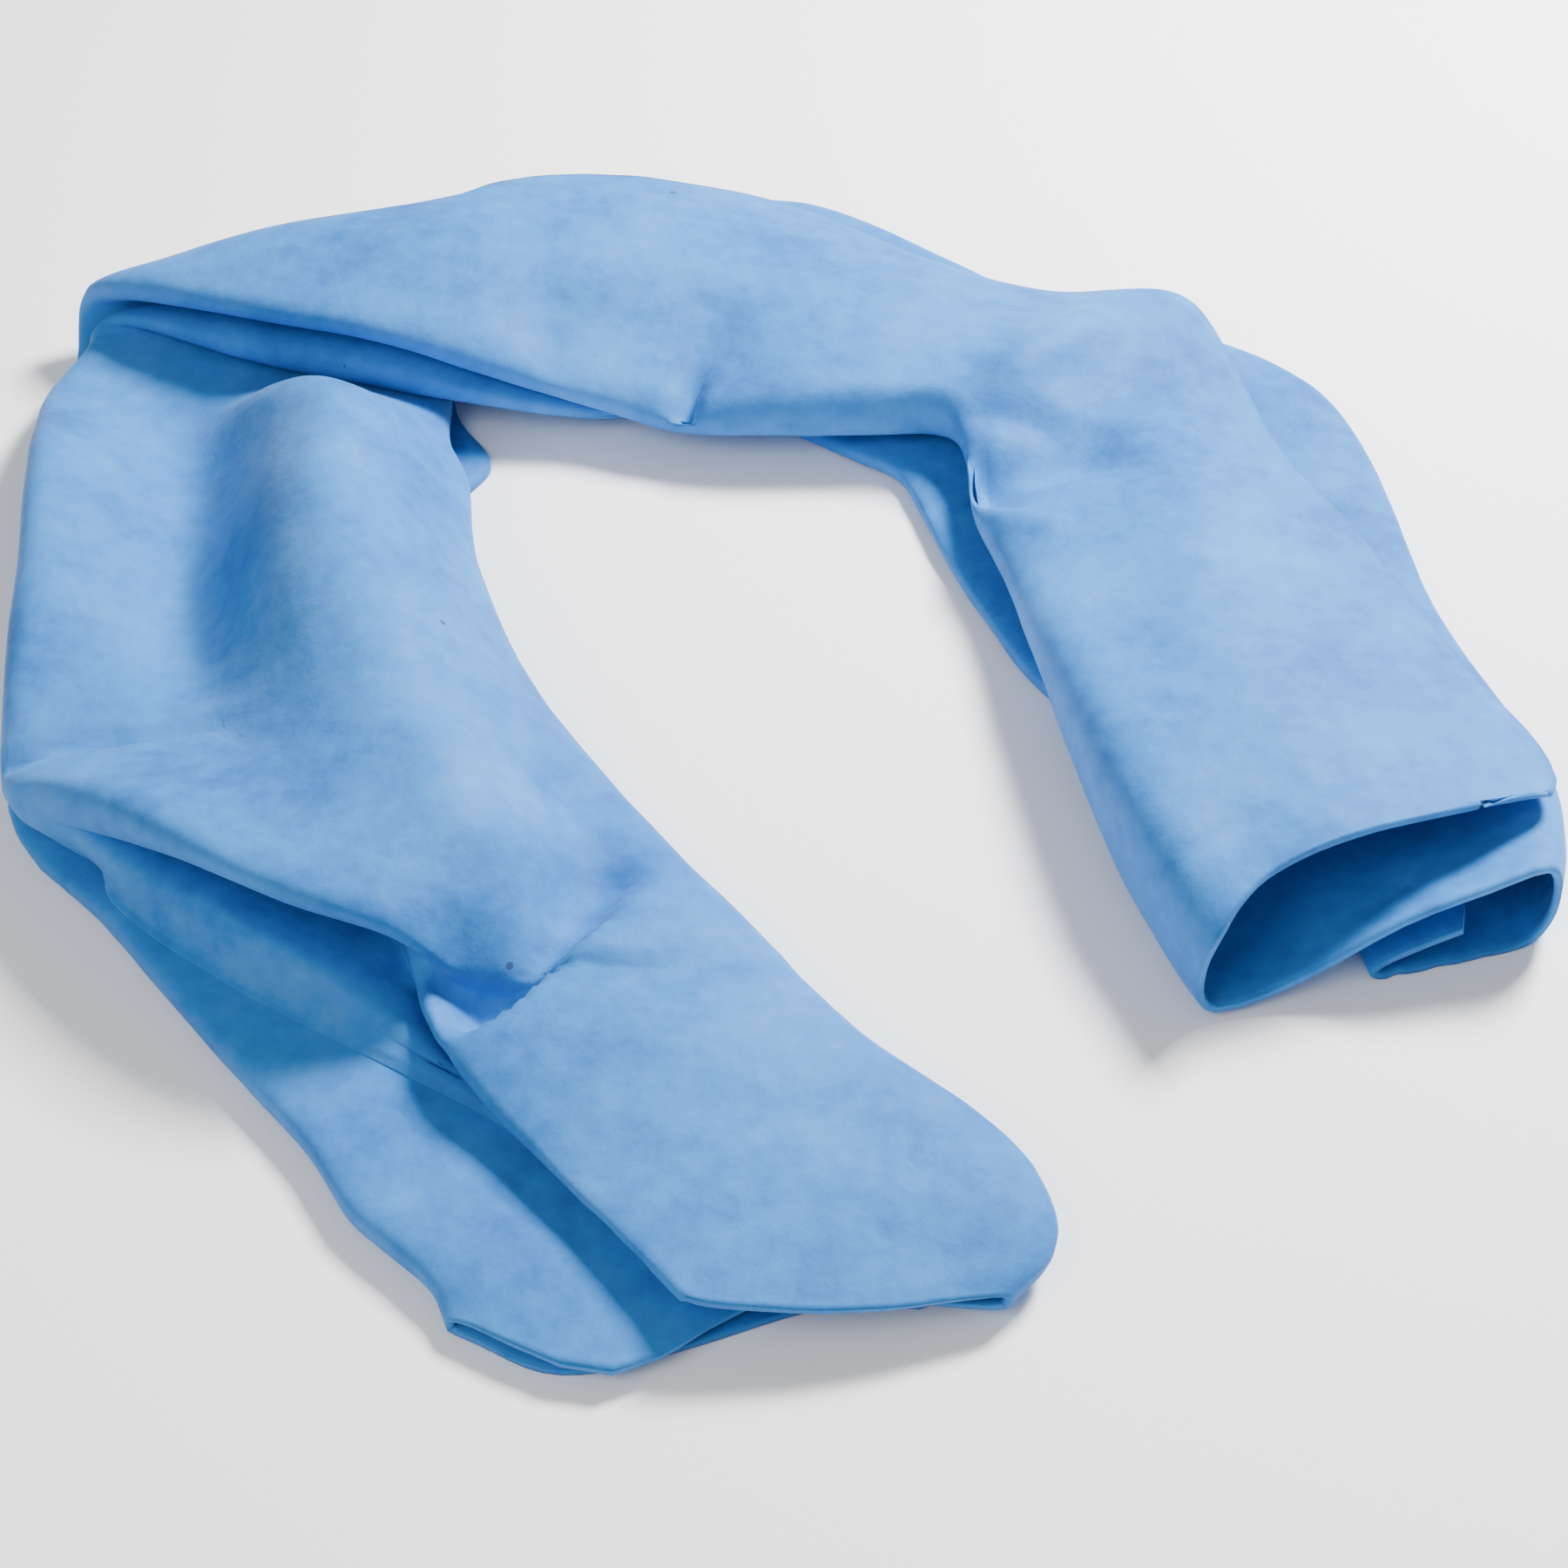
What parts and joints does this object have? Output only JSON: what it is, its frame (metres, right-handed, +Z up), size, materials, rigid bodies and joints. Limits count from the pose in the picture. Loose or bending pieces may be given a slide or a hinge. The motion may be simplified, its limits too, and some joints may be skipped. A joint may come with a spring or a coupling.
{
  "type": "cooling towel",
  "caption": "Damp light blue sponge sheet folded lengthwise into a flat ribbon and laid down as an open loop, as if just taken off the neck.",
  "frame": {"origin": "middle of the bounding box's underside, on the surface that the towel lies on", "axes": "+Z up out of the surface; +Y from the two loose ends towards the back of the loop; +X towards the arm whose end shows the folds"},
  "size_m": [0.3864, 0.3972, 0.0459],
  "materials": {
    "pva_sheet": "matt, slightly damp, soft mottled light blue sponge sheet"
  },
  "bodies": {
    "root": {"towel": "pva_sheet"}
  },
  "joints": []
}
